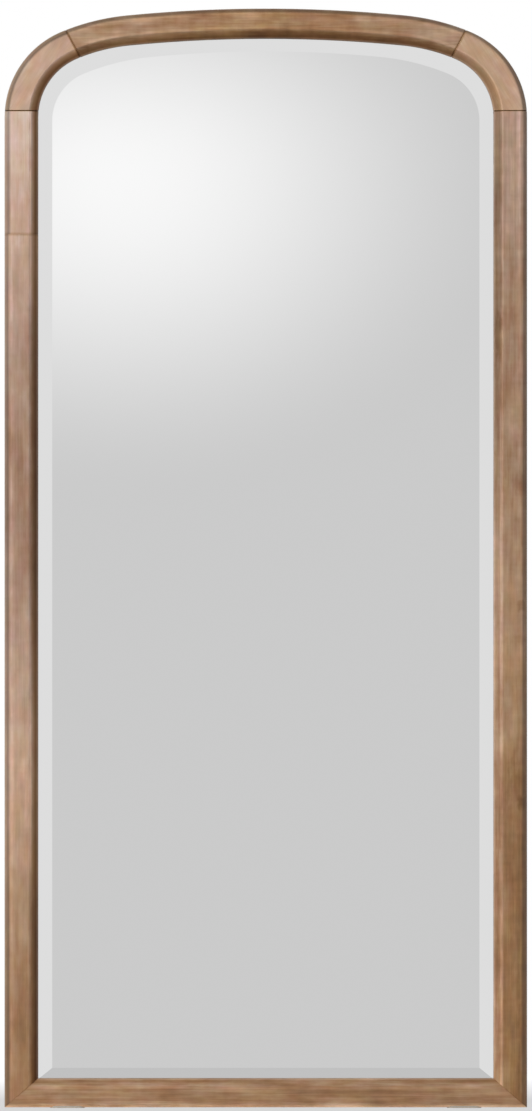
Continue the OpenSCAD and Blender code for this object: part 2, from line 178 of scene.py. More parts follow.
def over_the_arch(arcs, low, crown_steps):
    """Takes what is selected up the right side, over the arch and down the left side."""
    corner, shoulder, crown = [centre for centre, radius in arcs]
    rise = (corner.z - low) * Z
    pull(rise)
    turn(corner, corner_end, 24)
    turn(shoulder, shoulder_end - corner_end, 10)
    turn(crown, math.pi - 2 * shoulder_end, crown_steps)
    turn(mirrored(shoulder), shoulder_end - corner_end, 10)
    turn(mirrored(corner), corner_end, 24)
    pull(-rise)


def leave_edit():
    """Turns all faces outwards and leaves edit mode."""
    bpy.ops.mesh.select_all(action="SELECT")
    bpy.ops.mesh.normals_make_consistent(inside=False)
    bpy.ops.object.mode_set(mode="OBJECT")


def cut_away(piece, tool):
    """Cuts one closed mesh out of another, and removes the tool."""
    choose(piece)
    cut = piece.modifiers.new("cut", "BOOLEAN")
    cut.operation, cut.solver, cut.object = "DIFFERENCE", "EXACT", tool
    bpy.ops.object.modifier_apply(modifier=cut.name)
    bpy.data.objects.remove(tool, do_unlink=True)


def smooth(piece, degrees):
    """Shades smooth below that angle, and keeps flat faces flat beside round ones."""
    choose(piece)
    bpy.ops.object.shade_smooth_by_angle(angle=math.radians(degrees))
    normals = piece.modifiers.new("normals", "WEIGHTED_NORMAL")
    normals.keep_sharp = True
    bpy.ops.object.modifier_apply(modifier=normals.name)


def bend(centre, radius, start, stop, steps, across, along):
    """Points of an arc in a plane given by two directions, both ends included."""
    angles = [start + (stop - start) * i / steps for i in range(steps + 1)]
    return [centre + radius * (math.cos(a) * across + math.sin(a) * along) for a in angles]


# ---------- wood: two blanks, cut to seven members ----------


def moulding(sight, outward, width):
    """Points of the inner side of the moulding: the round arris on the face, the slope down to the
    glass and the small round of the lip. outward points from the opening into the wood."""
    tilt = math.atan2(slope_d, width)
    right_angle = math.pi / 2
    arris_centre = sight + (width + arris_r * math.tan(tilt / 2)) * outward + (front + arris_r) * Y
    lip_y = front + slope_d + lip_r * math.tan((right_angle - tilt) / 2)
    lip_centre = sight + lip_r * outward + lip_y * Y
    return (bend(arris_centre, arris_r, -right_angle, -right_angle - tilt, 6, outward, Y)
            + bend(lip_centre, lip_r, -right_angle - tilt, -2 * right_angle, 3, outward, Y))


def arch_blank():
    """A bar with rounded front edge, swept over the arch, less the opening with its rebates."""
    low = blank_low * Z
    edge_centre = (half_w - edge_r) * X + (front + edge_r) * Y + low
    bar = section("blank", [(half_w - blank_w) * X + front * Y + low]
                  + bend(edge_centre, edge_r, -math.pi / 2, 0, 9, X, Y)
                  + [low + half_w * X + (back - back_chamfer) * Y,
                     low + (half_w - back_chamfer) * X + back * Y,
                     low + (half_w - blank_w) * X + back * Y])
    over_the_arch(outer_arch, blank_low, 15)
    leave_edit()

    sight = sight_x * X + low
    inner = moulding(sight, X, slope_w)[1:]
    # The cut comes in just outside the arris, from a hair in front of the face
    brim = inner[0] + 0.3 * MM * X
    brim.y = front - 0.02 * MM
    rebates = [(0, lip_back), (glass_rebate, lip_back), (glass_rebate, back - panel_depth),
               (panel_rebate, back - panel_depth), (panel_rebate, back + over),
               (-clear, back + over), (-clear, front - over)]
    opening = section("opening", [brim - over * Y, brim] + inner
                      + [sight + u * X + v * Y for u, v in rebates])
    over_the_arch(sight_arch, blank_low, 14)
    leave_edit()
    cut_away(bar, opening)
    return bar


def rail_blank():
    """The bottom rail's section, run straight across, with two pockets for the feet."""
    side = (half_w + over) * X
    low, sight = foot * Z - side, sight_z * Z - side
    edge_centre = low + (front + edge_r) * Y + edge_r * Z
    rebates = [(-panel_rebate, back), (-panel_rebate, back - panel_depth),
               (-glass_rebate, back - panel_depth), (-glass_rebate, lip_back), (0, lip_back)]
    bar = section("blank", bend(edge_centre, edge_r, math.pi, 1.5 * math.pi, 9, Y, Z)
                  + [low + (back - back_chamfer) * Y, low + back * Y + back_chamfer * Z]
                  + [sight + u * Z + v * Y for u, v in rebates]
                  + moulding(sight, -Z, rail_slope_w)[::-1])
    pull(2 * side)
    leave_edit()
    for pad in ("left_floor_pad", "right_floor_pad"):
        cut_away(bar, pocket(pad))
    return bar


def pocket(pad):
    """A block with round corners, a little larger than the pad."""
    play, pocket_r = 0.2 * MM, 10 * MM
    low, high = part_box(pad)
    size = high - low + 2 * Vector((play, play, play))
    bpy.ops.object.select_all(action="DESELECT")
    bpy.ops.mesh.primitive_cube_add(size=1, location=(low + high) / 2, scale=size)
    block = bpy.context.object
    bpy.ops.object.transform_apply()
    bpy.ops.object.mode_set(mode="EDIT")
    bpy.ops.mesh.select_mode(type="EDGE")
    bpy.ops.mesh.select_all(action="DESELECT")
    mesh = bmesh.from_edit_mesh(block.data)
    # Only its upright edges are rounded
    for edge in mesh.edges:
        if abs(edge.verts[0].co.z - edge.verts[1].co.z) > MM:
            edge.select_set(True)
    bmesh.update_edit_mesh(block.data)
    bpy.ops.mesh.bevel(offset=pocket_r, segments=6)
    leave_edit()
    return block


def member(name, blank, cuts):
    """A copy of a blank, cut to length. A cut is a point on it, the direction away from the wood, and
    the width of the chamfer round the cut end."""
    piece = blank.copy()
    piece.data = blank.data.copy()
    piece.name = piece.data.name = name
    bpy.context.collection.objects.link(piece)
    choose(piece)
    bpy.ops.object.mode_set(mode="EDIT")
    for point, away, chamfer in cuts:
        end = point - chamfer * away
        bpy.ops.mesh.select_mode(type="VERT")
        bpy.ops.mesh.select_all(action="SELECT")
        bpy.ops.mesh.bisect(plane_co=end, plane_no=away, use_fill=True, clear_outer=True)
        bpy.ops.mesh.select_all(action="SELECT")
        bpy.ops.mesh.normals_make_consistent(inside=False)
        if chamfer:
            bpy.ops.mesh.select_mode(type="FACE")
            bpy.ops.mesh.select_all(action="DESELECT")
            mesh = bmesh.from_edit_mesh(piece.data)
            for face in mesh.faces:
                if all(abs((v.co - end).dot(away)) < 0.01 * MM for v in face.verts):
                    face.select_set(True)
            bmesh.update_edit_mesh(piece.data)
            bpy.ops.mesh.inset(thickness=chamfer, depth=chamfer)
    leave_edit()
    smooth(piece, 30)
    return piece


def inwards(arcs, half, co):
    """How far a point is inwards from the line of an arch."""
    place = Vector((abs(co.x), 0, co.z))
    if place.z < arcs[0][0].z:
        return half - place.x
    for (centre, radius), limit in zip(arcs, (corner_end, shoulder_end, math.pi)):
        arm = place - centre
        if math.atan2(arm.z, arm.x) <= limit:
            return radius - arm.length


def mark_moulding(piece):
    """Gives each point its distance from the frame's outer edge, from the sight edge, and along the
    member: the height on a stile, the distance from the middle of the mirror elsewhere."""
    marks = piece.data.attributes.new("moulding", "FLOAT_VECTOR", "POINT")
    for vertex, mark in zip(piece.data.vertices, marks.data):
        co = vertex.co
        reach = co.z if "stile" in piece.name else abs(co.x)
        if piece.name.startswith("bottom_rail"):
            mark.vector = (co.z - foot, sight_z - co.z, reach)
        else:
            mark.vector = (inwards(outer_arch, half_w, co), -inwards(sight_arch, sight_x, co), reach)


def left(cut):
    """The same cut on the left side."""
    point, away, chamfer = cut
    return mirrored(point), mirrored(away), chamfer


right_side, left_side = (Vector(), -X, 0), (Vector(), X, 0)
stile_end, corner_foot = (joint_z * Z, Z, stile_groove), (joint_z * Z, -Z, stile_groove)
seam_below, seam_above = (seam_z * Z, Z, seam_groove), (seam_z * Z, -Z, seam_groove)
stile_mitre, rail_mitre = (mitre_point, mitre_way, mitre_groove), (mitre_point, -mitre_way, mitre_groove)
corner_top, crown_end = (joint_point, joint_way, rail_groove), (joint_point, -joint_way, rail_groove)

member_cuts = {
    "right_stile": [right_side, stile_end, stile_mitre],
    "left_stile": [left_side, seam_below, left(stile_mitre)],
    "left_stile_upper": [left_side, stile_end, seam_above],
    "right_corner": [right_side, corner_foot, corner_top],
    "left_corner": [left_side, corner_foot, left(corner_top)],
    "top_rail": [crown_end, left(crown_end)],
    "bottom_rail": [rail_mitre, left(rail_mitre)],
}

arch_bar, rail_bar = arch_blank(), rail_blank()
members = {}
for name, ends in member_cuts.items():
    bar = rail_bar if name == "bottom_rail" else arch_bar
    members[name] = member(name + "_wood", bar, ends)
    mark_moulding(members[name])
for bar in (arch_bar, rail_bar):
    bpy.data.objects.remove(bar, do_unlink=True)


# ---------- glass ----------


def glass_sheet():
    """Mirror glass with a thin straight edge and a wide bevel round a flat field."""
    field = begin("field", line_x * X + glass_low.y * Y + line_z * Z)
    over_the_arch(line_arch, line_z, 14)
    close_outline()
    leave_edit()
    sheet = begin("mirror_glass_sheet", glass_high.x * X + glass_high.y * Y + glass_low.z * Z)
    over_the_arch(glass_arch, glass_low.z, 14)
    close_outline()
    pull(-edge_t * Y)
    bpy.ops.mesh.delete(type="ONLY_FACE")
    bpy.ops.object.mode_set(mode="OBJECT")
    field.select_set(True)
    bpy.ops.object.join()
    bpy.ops.object.mode_set(mode="EDIT")
    bpy.ops.mesh.select_mode(type="EDGE")
    bpy.ops.mesh.select_all(action="DESELECT")
    mesh = bmesh.from_edit_mesh(sheet.data)
    for edge in mesh.edges:
        if edge.is_boundary:
            edge.select_set(True)
    bmesh.update_edit_mesh(sheet.data)
    bpy.ops.mesh.bridge_edge_loops()
    leave_edit()
    smooth(sheet, 1)
    return sheet


glass = glass_sheet()


# ---------- materials ----------


def linear(code):
    """An sRGB hex colour as linear red, green, blue and alpha."""
    parts = [int(code[i:i + 2], 16) / 255 for i in (1, 3, 5)]
    return [c / 12.92 if c <= 0.04045 else ((c + 0.055) / 1.055) ** 2.4 for c in parts] + [1]


def add(tree, kind, inputs=None, stops=(), **settings):
    """Adds a node with its settings, and sets or links its inputs. A node given as an input is read
    at its first output. stops are the places and colours of a colour ramp."""
    node = tree.nodes.new(kind)
    for name, value in settings.items():
        setattr(node, name, value)
    for name, value in (inputs or {}).items():
        if isinstance(value, bpy.types.Node):
            value = value.outputs[0]
        if isinstance(value, bpy.types.NodeSocket):
            tree.links.new(value, node.inputs[name])
        else:
            node.inputs[name].default_value = value
    for i, (place, code) in enumerate(stops):
        if i > 1:
            node.color_ramp.elements.new(place)
        node.color_ramp.elements[i].position = place
        node.color_ramp.elements[i].color = linear(code)
    return node


def finish_with(name, **sockets):
    """A material with one Principled shader, whose plain values are given by socket name."""
    material = bpy.data.materials.new(name)
    material.use_nodes = True
    tree = material.node_tree
    tree.nodes.clear()
    shader = add(tree, "ShaderNodeBsdfPrincipled", {k.replace("_", " "): v for k, v in sockets.items()})
    add(tree, "ShaderNodeOutputMaterial", {"Surface": shader})
    return material, tree, shader


# Most of a noise pattern lies between these values
NOISE_LOW, NOISE_HIGH = 0.3, 0.7

# Length of the slow wave of tone in the stiles, in metres
WAVE_LENGTH = 1.0

# How far the dark stain spreads from each kind of joint, by its groove, and the light it leaves at the joint
JOINT_STAIN = {stile_groove: (1.6 * MM, 0.3), rail_groove: (3.4 * MM, 0.6), mitre_groove: (1.6 * MM, 0.9),
               seam_groove: (5 * MM, 0.78)}

# Each layer of stain, wear, painted light and painted shade has a light, by which it multiplies red. Its
# tint is the powers of that light for green and blue. Above 1, a darker layer is browner and a lighter one
# is paler. Below 1, a lighter one is warmer.
# The tint of stain held in joints and patches, and by default of the painted shade and light on the slopes
STAIN_AND_SHADE_TINT = (1.3, 1.9)
# The tint of the painted highlights on the arrises, which are partly wear
PAINTED_HIGHLIGHT_TINT = (1.06, 1.35)
# The tint of the painted highlight on the lip
LIP_TINT = (1.2, 1.5)
# The tint of the painted sheen towards the outer side
PAINTED_SHEEN_TINT = (0.92, 0.65)

# Each member's wood. COMMON is what a member has where its own row says nothing. Lengths are in metres
# where nothing else is said.
# - pattern: a place in the wood's pattern. grain: the angle of its grain from upright, in degrees.
#   figure: how strong the pattern is. streak and cross: the share of its long streaks and of its marks
#   across the grain. wave: the size of a slow change of tone, and the height of its crest.
# - tone, gold, arris, edge_at, crest and slope are a value and its change per metre, upwards from the
#   floor on a stile and outwards from the middle on the other members.
# - tone: how light the wood is. gold: how golden, of which the slope has the share slope_gold.
# - arris: how much lighter the outer arris is painted, a painted highlight that is partly wear (below 0,
#   painted shade), and arris_at its distance from the outer edge in mm.
#   crest and crest_at: the same for the arris above the slope, from the glass.
# - edge: the light of the painted shade on the rounded edge past the outer arris, painted light above 1.
#   edge_at: how far in it reaches, and edge_soft how gradually it sets in, in mm. side_at: how far in the
#   painted sheen towards the side reaches, in mm.
# - slope: the light of the painted shade on the slope, painted light above 1. lip: what the painted shade,
#   deeper at the glass, leaves there.
# - slope_tint, painted_light_tint and edge_tint: the tints of a slope painted darker, of one painted
#   lighter, and of the edge.
# - held: how much stain the joints hold.
# - marks: dark patches, each with its place along the member and in from the outer edge, half its length,
#   half its width, and the light it leaves.
COMMON = dict(grain=0, streak=0.28, cross=0.15, wave=(0, 0), held=1, edge_soft=2, edge_tint=(1, 1),
              side_at=6, slope_tint=STAIN_AND_SHADE_TINT, painted_light_tint=STAIN_AND_SHADE_TINT, slope_gold=1.0, marks=())
WOOD = {
    "left_stile": dict(
        pattern=3.1, figure=0.95, tone=(0.47, 0.03), gold=(0.435, -0.7), wave=(0.19, 0.60),
        arris=(0.26, 0), arris_at=12.5, edge=0.45, edge_at=(9.3, -1.2),
        crest=(0.26, 0), crest_at=13.5, slope=(0.95, 0), lip=0.33, painted_light_tint=(1, 0.8)),
    "left_stile_upper": dict(
        pattern=26.3, figure=0.75, tone=(-1.50, 1.40), gold=(-0.2, 0),
        arris=(0.05, 0), arris_at=13, edge=0.45, edge_at=(10.5, 0), edge_soft=3,
        crest=(0.40, 0), crest_at=14, slope=(1.32, 0), lip=0.22, painted_light_tint=(1, 0.6)),
    "right_stile": dict(
        pattern=42.7, figure=1.2, cross=0.2, tone=(0.24, 0.17), gold=(0.725, -0.52), wave=(0.10, 0.86),
        held=0.7, arris=(-0.35, 0.42), arris_at=13.5, edge=0.56, edge_at=(10.9, -2.2),
        crest=(0.30, -0.05), crest_at=13.5, slope=(1.38, -0.48), lip=0.93,
        slope_tint=(1.05, 1.25), painted_light_tint=(1.05, 1.25), slope_gold=0.4,
        marks=[(0.534, 0.009, 0.016, 0.013, 0.66), (0.56, 0.018, 0.06, 0.026, 0.85),
               (0.878, 0.010, 0.013, 0.010, 0.74), (0.82, 0.018, 0.011, 0.026, 0.88),
               (1.088, 0.011, 0.026, 0.018, 0.84), (1.345, 0.051, 0.06, 0.012, 0.76)]),
    "left_corner": dict(
        pattern=77.8, grain=32, figure=0.85, streak=0.1, tone=(0.72, 0), gold=(-0.05, 0),
        arris=(0, 0), arris_at=9, edge=0.34, edge_at=(9.2, 0), edge_soft=2.4, edge_tint=(1.02, 1.1),
        crest=(0.18, 0), crest_at=14, slope=(0.84, 0), lip=0.42, slope_tint=(1.4, 2.1)),
    "right_corner": dict(
        pattern=72.1, grain=-32, figure=0.85, streak=0.1, tone=(0.73, 0), gold=(0.18, 0), held=0.8,
        arris=(0.05, 0), arris_at=11, edge=0.38, edge_at=(-3.7, 25.6),
        crest=(0.22, 0), crest_at=13.5, slope=(0.70, 0), lip=0.78, slope_tint=(1.16, 1.48)),
    "top_rail": dict(
        pattern=64.7, grain=90, figure=1.55, cross=0.2, tone=(0.31, 0.50), gold=(0.56, -1.3),
        arris=(0.14, 0), arris_at=10, edge=0.55, edge_at=(7.2, 0), side_at=2.4,
        crest=(0.16, 0), crest_at=17.5, slope=(0.82, 0), lip=0.55),
    "bottom_rail": dict(
        pattern=72.6, grain=90, figure=1.35, streak=0.42, cross=0.1, tone=(0.25, 0.2), gold=(0.35, 0),
        arris=(0, 0), arris_at=9, edge=1.95, edge_at=(8.0, 0), edge_soft=7, edge_tint=(1.34, 1.89),
        crest=(0.20, 0), crest_at=14.8, slope=(1.25, 0), lip=0.8),
}


def stained_alder(name):
    """Alder, planed and stained mid brown under satin lacquer. It gives the eye fine straight grain under
    soft blotches and dark stain held in the joints, with light and shade painted on: highlights on the
    arrises, partly wear, and on the lip; shade on the outer edge and on the slope, deeper towards the glass;
    and a sheen towards the side. The back is left unstained."""
    wood = {**COMMON, **WOOD[name]}
    material, tree, shader = finish_with("stained_alder_" + name, Coat_Weight=0.1, Coat_Roughness=0.35)
    place = add(tree, "ShaderNodeTexCoord")
    normal, spot = place.outputs["Normal"], place.outputs["Object"]
    across = add(tree, "ShaderNodeAttribute", attribute_name="moulding")
    from_edge, from_glass, reach = add(tree, "ShaderNodeSeparateXYZ",
                                       {0: across.outputs["Vector"]}).outputs

    def grain(width, length, detail, twist=0.0):
        """A pattern around 0.5, with the size of its spots across and along the grain in mm."""
        start = wood["pattern"]
        laid = add(tree, "ShaderNodeMapping", {
            "Vector": spot, "Location": (start, start * 0.37, start * 0.71),
            "Rotation": (0, math.radians(wood["grain"]), 0),
            "Scale": (width * MM, width * MM, length * MM)}, vector_type="TEXTURE")
        return add(tree, "ShaderNodeTexNoise", {"Vector": laid, "Scale": 1, "Detail": detail,
                                                "Roughness": 0.55, "Distortion": twist})

    def along(pair):
        """A value with its change along the member."""
        return add(tree, "ShaderNodeMath", {0: reach, 1: pair[1], 2: pair[0]}, operation="MULTIPLY_ADD")

    def times(*values):
        """The product of all of them."""
        product = values[0]
        for value in values[1:]:
            product = add(tree, "ShaderNodeMath", {0: product, 1: value}, operation="MULTIPLY")
        return product

    # How light the wood is: its own tone and slow wave, then blotches, growth bands, fibres and figure
    value = along(wood["tone"])
    swell, crest_z = wood["wave"]
    turns = 2 * math.pi / WAVE_LENGTH
    phase = along((-crest_z * turns, turns))
    swing = times(add(tree, "ShaderNodeMath", {0: phase}, operation="COSINE"), swell)
    value = add(tree, "ShaderNodeMath", {0: swing, 1: value}, operation="ADD")
    fibre = grain(1.5, 60, 3)
    for pattern, amount in ((grain(30, 100, 2), 0.65), (grain(12, 34, 2), 0.35), (fibre, 0.26),
                            (grain(5, 230, 2, 0.6), wood["streak"]), (grain(50, 12, 2), wood["cross"])):
        shift = add(tree, "ShaderNodeMath", {0: pattern, 1: 0.5}, operation="SUBTRACT")
        value = add(tree, "ShaderNodeMath", {0: shift, 1: amount * wood["figure"], 2: value},
                    operation="MULTIPLY_ADD")
    stain = add(tree, "ShaderNodeValToRGB", {0: value}, stops=[
        (0.0, "#785942"), (0.25, "#8f6f58"), (0.5, "#a38773"), (0.75, "#b99b87"), (1.0, "#d0baa9")])

    # Slow drift between beige and pinkish wood, and between paler and more golden wood
    least_gold, gold_drift = -0.2, 0.2
    drift = add(tree, "ShaderNodeMapRange", {0: grain(18, 40, 3), "From Min": NOISE_LOW,
                                             "From Max": NOISE_HIGH})
    hue = add(tree, "ShaderNodeValToRGB", {0: drift}, stops=[(0.0, "#fbfff5"), (1.0, "#fff2ee")])
    stain = add(tree, "ShaderNodeMix", {0: 1.0, 6: stain, 7: hue}, data_type="RGBA", blend_type="MULTIPLY")
    drift = add(tree, "ShaderNodeMapRange", {0: grain(14, 50, 3), "From Min": NOISE_LOW,
                                             "From Max": NOISE_HIGH, "To Min": -gold_drift,
                                             "To Max": gold_drift})
    gold = add(tree, "ShaderNodeMath", {0: along(wood["gold"]), 1: least_gold}, operation="MAXIMUM")
    slope = rail_slope_w if name == "bottom_rail" else slope_w
    sloped = add(tree, "ShaderNodeMapRange", {0: from_glass, "From Min": slope - 0.3 * MM,
                                              "From Max": slope - 2.8 * MM})
    share = add(tree, "ShaderNodeMapRange", {0: from_glass, "From Min": slope + 2.5 * MM,
                                             "From Max": slope - 1.5 * MM, "To Min": 1.0,
                                             "To Max": wood["slope_gold"]})
    gold = add(tree, "ShaderNodeMath", {0: gold, 1: share, 2: drift}, operation="MULTIPLY_ADD")
    stain = add(tree, "ShaderNodeMix", {0: gold, 6: stain.outputs[2], 7: linear("#fff1b0")},
                data_type="RGBA", blend_type="MULTIPLY", clamp_factor=False)

    # A painted highlight along the outer arris, partly wear and broken up along its length; painted shade on
    # the rounded edge past it, painted light there on the bottom rail; and a painted sheen towards the side
    painted_sheen_light = 1.8
    arris_at = wood["arris_at"] * MM
    patchy = add(tree, "ShaderNodeMapRange", {0: grain(20, 45, 3), "From Min": NOISE_LOW,
                                              "From Max": NOISE_HIGH, "To Min": 0.4, "To Max": 1.6})
    outside = add(tree, "ShaderNodeMapRange", {0: from_edge, "From Min": arris_at - 4 * MM,
                                               "From Max": arris_at}, interpolation_type="SMOOTHSTEP")
    inside = add(tree, "ShaderNodeMapRange", {0: from_edge, "From Min": arris_at + 7 * MM,
                                              "From Max": arris_at})
    # A painted highlight along the outer arris, partly wear; below 0 it is painted shade
    painted_arris_highlight = times(along(wood["arris"]), outside, inside, patchy)
    # Painted shade on the rounded outer edge; above 1, as on the bottom rail, painted light
    edge_at = along([part * MM for part in wood["edge_at"]])
    painted_edge_shading = add(tree, "ShaderNodeMath", {0: edge_at, 1: from_edge}, operation="SUBTRACT")
    painted_edge_shading = add(tree, "ShaderNodeMapRange", {0: painted_edge_shading, "From Min": -1 * MM,
                                              "From Max": wood["edge_soft"] * MM,
                                              "To Min": 1.0, "To Max": wood["edge"]})
    # A painted sheen, lighter towards the outer side, which also lifts the painted edge shade there
    side = add(tree, "ShaderNodeMapRange", {0: from_edge, "From Min": wood["side_at"] * MM,
                                            "From Max": 0.1 * MM, "To Min": 1.0,
                                            "To Max": painted_sheen_light})

    # A painted highlight on the arris above the slope, partly wear, and painted shade on the slope, deeper
    # towards the glass; where a slope is lighter than the face, painted light. The crest of the slow wave
    # shows more on the slope than on the face, as painted light.
    wave_on_slope = 2.0
    crest_at = wood["crest_at"] * MM
    below = add(tree, "ShaderNodeMapRange", {0: from_glass, "From Min": crest_at - 4 * MM,
                                             "From Max": crest_at - 1 * MM},
                interpolation_type="SMOOTHSTEP")
    above = add(tree, "ShaderNodeMapRange", {0: from_glass, "From Min": crest_at + 4 * MM,
                                             "From Max": crest_at + 1 * MM},
                interpolation_type="SMOOTHSTEP")
    # A painted highlight along the arris above the slope, partly wear
    crest = times(along(wood["crest"]), below, above, patchy)
    # Painted shade on the slope, deeper towards the glass
    painted_shade_at_glass = add(tree, "ShaderNodeMapRange", {0: from_glass, "From Min": 4.5 * MM, "From Max": slope - 2 * MM,
                                            "To Min": wood["lip"], "To Max": 1.0})
    # Painted light on the slope at the crest of the slow wave
    paler = add(tree, "ShaderNodeMath", {0: swing, 1: 0.0}, operation="MAXIMUM")
    paler = add(tree, "ShaderNodeMath", {0: paler, 1: wave_on_slope, 2: 1.0}, operation="MULTIPLY_ADD")
    # The slope's painted shade, which is painted light where it goes above 1
    painted_slope_shading = add(tree, "ShaderNodeMath", {0: times(painted_shade_at_glass, along(wood["slope"]), paler), 1: 1.0},
                  operation="SUBTRACT")
    painted_slope_shading = add(tree, "ShaderNodeMath", {0: painted_slope_shading, 1: sloped, 2: 1.0}, operation="MULTIPLY_ADD")
    shaded = add(tree, "ShaderNodeMath", {0: painted_slope_shading, 1: 1.0}, operation="MINIMUM")
    lighter = add(tree, "ShaderNodeMath", {0: painted_slope_shading, 1: 1.0}, operation="MAXIMUM")
    # Both painted arris highlights together
    bright = add(tree, "ShaderNodeMath", {0: painted_arris_highlight, 1: crest}, operation="ADD")
    bright = add(tree, "ShaderNodeMath", {0: bright, 1: 1.0}, operation="ADD")

    # Dark stain held in the joints, by distance from each cut
    dark_places = []
    for point, away, chamfer in member_cuts[name]:
        if chamfer:
            spread, least = JOINT_STAIN[chamfer]
            gap = add(tree, "ShaderNodeVectorMath", {0: spot, 1: away}, operation="DOT_PRODUCT")
            gap = add(tree, "ShaderNodeMath", {0: gap.outputs[1], 1: point.dot(away)},
                      operation="SUBTRACT")
            held = add(tree, "ShaderNodeMapRange", {0: gap, "From Min": -spread, "From Max": -chamfer,
                                                    "To Min": 1.0,
                                                    "To Max": 1 - wood["held"] * (1 - least)},
                       interpolation_type="SMOOTHSTEP")
            dark_places.append(held)

    # Dark patches in the wood. Their edges are ragged, and fade out over part of their size
    ragged_share, patch_fade = 1.5, 0.8
    ragged = grain(7, 16, 3)
    for height, inside, half_length, half_width, light in wood["marks"]:
        up = add(tree, "ShaderNodeMath", {0: reach, 1: 1 / half_length, 2: -height / half_length},
                 operation="MULTIPLY_ADD")
        beside = add(tree, "ShaderNodeMath", {0: from_edge, 1: 1 / half_width, 2: -inside / half_width},
                     operation="MULTIPLY_ADD")
        apart = add(tree, "ShaderNodeCombineXYZ", {0: up, 1: beside})
        apart = add(tree, "ShaderNodeVectorMath", {0: apart}, operation="LENGTH").outputs[1]
        apart = add(tree, "ShaderNodeMath", {0: ragged, 1: ragged_share, 2: apart},
                    operation="MULTIPLY_ADD")
        patch = add(tree, "ShaderNodeMapRange", {0: apart, "From Min": 1.0, "From Max": 1.0 + patch_fade,
                                                 "To Min": light, "To Max": 1.0},
                    interpolation_type="SMOOTHSTEP")
        dark_places.append(patch)

    # All layers of stain, wear, painted light and painted shade, with a painted highlight on the lip at the
    # glass
    lip_light = 1.3
    # A painted highlight on the small round of the lip
    painted_lip_highlight = add(tree, "ShaderNodeMapRange", {0: from_glass, "From Min": 3.5 * MM,
                                                "From Max": 0.5 * MM, "To Min": 1.0,
                                                "To Max": lip_light})
    layers = [(shaded, wood["slope_tint"]), (lighter, wood["painted_light_tint"]), (times(*dark_places), STAIN_AND_SHADE_TINT),
              (bright, PAINTED_HIGHLIGHT_TINT), (painted_edge_shading, wood["edge_tint"]), (painted_lip_highlight, LIP_TINT), (side, PAINTED_SHEEN_TINT)]
    stain = stain.outputs[2]
    for light, (green_power, blue_power) in layers:
        green = add(tree, "ShaderNodeMath", {0: light, 1: green_power}, operation="POWER")
        blue = add(tree, "ShaderNodeMath", {0: light, 1: blue_power}, operation="POWER")
        layer = add(tree, "ShaderNodeCombineXYZ", {0: light, 1: green, 2: blue})
        stain = add(tree, "ShaderNodeVectorMath", {0: stain, 1: layer}, operation="MULTIPLY")

    # Bare alder on the back
    facing = add(tree, "ShaderNodeVectorMath", {0: normal, 1: -Y}, operation="DOT_PRODUCT").outputs[1]
    bare = add(tree, "ShaderNodeValToRGB", {0: value}, stops=[(0.0, "#a9825f"), (1.0, "#d8b892")])
    behind = add(tree, "ShaderNodeMapRange", {0: facing, "From Min": -0.55, "From Max": -0.8})
    colour = add(tree, "ShaderNodeMix", {0: behind, 6: stain.outputs[0], 7: bare}, data_type="RGBA")
    tree.links.new(colour.outputs[2], shader.inputs["Base Color"])

    # Lacquer is thin on the slope and pooled at the lip, and sinks a little into the open fibres
    lip_gloss = 0.9
    pooled = add(tree, "ShaderNodeMapRange", {0: from_glass, "From Min": 3 * MM, "From Max": 1 * MM})
    gloss = add(tree, "ShaderNodeMapRange", {0: sloped, "To Min": 0.5, "To Max": 0.15})
    gloss = add(tree, "ShaderNodeMath", {0: pooled, 1: lip_gloss, 2: gloss}, operation="MULTIPLY_ADD")
    tree.links.new(gloss.outputs[0], shader.inputs["Specular IOR Level"])
    rough = add(tree, "ShaderNodeMapRange", {0: fibre, "From Min": NOISE_LOW, "From Max": NOISE_HIGH,
                                             "To Min": 0.48, "To Max": 0.36})
    tree.links.new(rough.outputs[0], shader.inputs["Roughness"])
    bump = add(tree, "ShaderNodeBump", {"Height": fibre, "Strength": 0.25, "Distance": 0.3 * MM})
    tree.links.new(bump.outputs[0], shader.inputs["Normal"])
    return material


def silvered_glass():
    """Float glass, bevelled and polished, silvered and painted grey on the back. It gives the eye a
    clear reflection with a faint haze, and a dull painted back."""
    material, tree, shader = finish_with("silvered_bevelled_glass")
    place = add(tree, "ShaderNodeTexCoord")
    haze = add(tree, "ShaderNodeTexNoise", {"Vector": place.outputs["Object"], "Scale": 9, "Detail": 4})
    polish = add(tree, "ShaderNodeMapRange", {0: haze, "From Min": 0.3, "From Max": 0.8,
                                              "To Min": 0.004, "To Max": 0.02})
    facing = add(tree, "ShaderNodeVectorMath", {0: place.outputs["Normal"], 1: -Y},
                 operation="DOT_PRODUCT").outputs[1]
    silver = add(tree, "ShaderNodeMapRange", {0: facing, "From Min": 0.2, "From Max": 0.4})
    colour = add(tree, "ShaderNodeMix", {0: silver, 6: linear("#868c8b"), 7: linear("#f6f6f6")},
                 data_type="RGBA")
    rough = add(tree, "ShaderNodeMix", {0: silver, 2: 0.55, 3: polish})
    tree.links.new(colour.outputs[2], shader.inputs["Base Color"])
    tree.links.new(silver.outputs[0], shader.inputs["Metallic"])
    tree.links.new(rough.outputs[0], shader.inputs["Roughness"])
    return material


